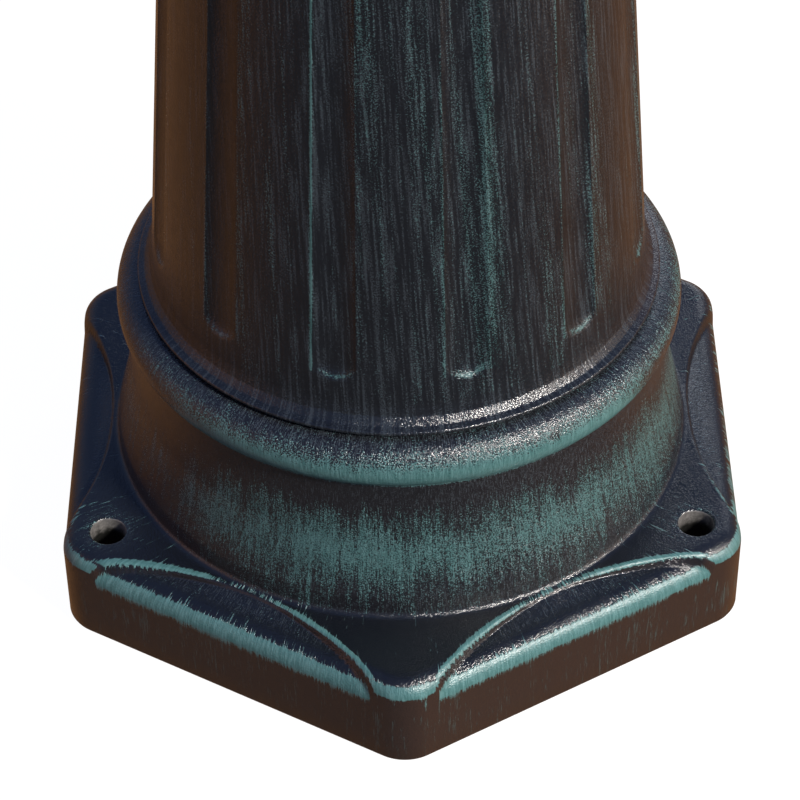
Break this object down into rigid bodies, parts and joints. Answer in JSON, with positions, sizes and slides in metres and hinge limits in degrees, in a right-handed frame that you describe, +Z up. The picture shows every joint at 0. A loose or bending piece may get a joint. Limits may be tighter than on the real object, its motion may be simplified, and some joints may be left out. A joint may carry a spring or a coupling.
{
  "type": "street lamp post",
  "caption": "Cast lamp post: hexagonal bolt-down base, bell and ring, fluted tapering column, slender shaft, and a glazed lantern whose roof swings open.",
  "frame": {"origin": "centre of the hexagonal base's underside, on the ground", "axes": "+Z up along the post; a corner of the hexagonal base faces -Y, the front; the lantern roof's hinge is on the -X side and its latch on the +X side"},
  "size_m": [0.214, 0.2428, 2.1026],
  "materials": {
    "patinated_casting": "satin near-black stove coating on cast aluminium, brushed over with blue-green verdigris on its edges",
    "zinc_steel": "dull zinc plate",
    "stainless_steel": "satin",
    "clear_glass": "clear, polished",
    "frosted_bulb": "frosted",
    "bulb_cap_metal": "nickel plated",
    "porcelain": "glazed",
    "white_enamel": "semi-gloss white",
    "black_rubber": "matt",
    "terminal_plastic": "moulded"
  },
  "bodies": {
    "post": {"base_casting": "patinated_casting", "bracket_screw_1": "stainless_steel", "bracket_screw_2": "stainless_steel", "bulb_cap": "bulb_cap_metal", "bulb_glass": "frosted_bulb", "cable_gland": "black_rubber", "capital": "patinated_casting", "clamp_bridge": "zinc_steel", "earth_screw": "stainless_steel", "floor_screw_1": "stainless_steel", "floor_screw_2": "stainless_steel", "floor_screw_3": "stainless_steel", "glass_pane_1": "clear_glass", "glass_pane_2": "clear_glass", "glass_pane_3": "clear_glass", "glass_pane_4": "clear_glass", "glass_pane_5": "clear_glass", "glass_pane_6": "clear_glass", "glazing_bar_1": "patinated_casting", "glazing_bar_2": "patinated_casting", "glazing_bar_3": "patinated_casting", "glazing_bar_4": "patinated_casting", "glazing_bar_5": "patinated_casting", "glazing_bar_6": "patinated_casting", "hinge_leaf_frame": "stainless_steel", "hinge_pin": "stainless_steel", "lampholder": "porcelain", "lampholder_bracket": "zinc_steel", "lantern_floor": "patinated_casting", "lantern_top_ring": "patinated_casting", "lower_collar": "patinated_casting", "lower_column": "patinated_casting", "roof_gasket": "black_rubber", "shaft": "patinated_casting", "supply_cable": "black_rubber", "terminal_block": "terminal_plastic", "tie_rod": "zinc_steel", "tie_rod_bottom_nut": "zinc_steel", "tie_rod_bottom_washer": "zinc_steel", "tie_rod_top_nut": "zinc_steel", "tie_rod_top_washer": "zinc_steel", "upper_collar": "patinated_casting"},
    "roof": {"roof_casting": "patinated_casting", "vent_cap": "patinated_casting", "finial": "patinated_casting", "finial_stud": "zinc_steel", "finial_nut": "zinc_steel", "reflector": "white_enamel", "reflector_spacer": "zinc_steel", "reflector_nut": "zinc_steel", "hinge_leaf_roof": "stainless_steel"},
    "latch": {"latch_knob": "stainless_steel"}
  },
  "joints": [
    {"name": "roof_hinge", "type": "hinge", "parent": "post", "child": "roof", "pos_m": [-0.1, 0, 1.937], "axis": [0, -1, 0], "range_deg": [0, 100]},
    {"name": "latch_turn", "type": "hinge", "parent": "roof", "child": "latch", "pos_m": [0.099, 0, 1.944], "axis": [0, 0, 1], "range_deg": [0, 90]}
  ]
}
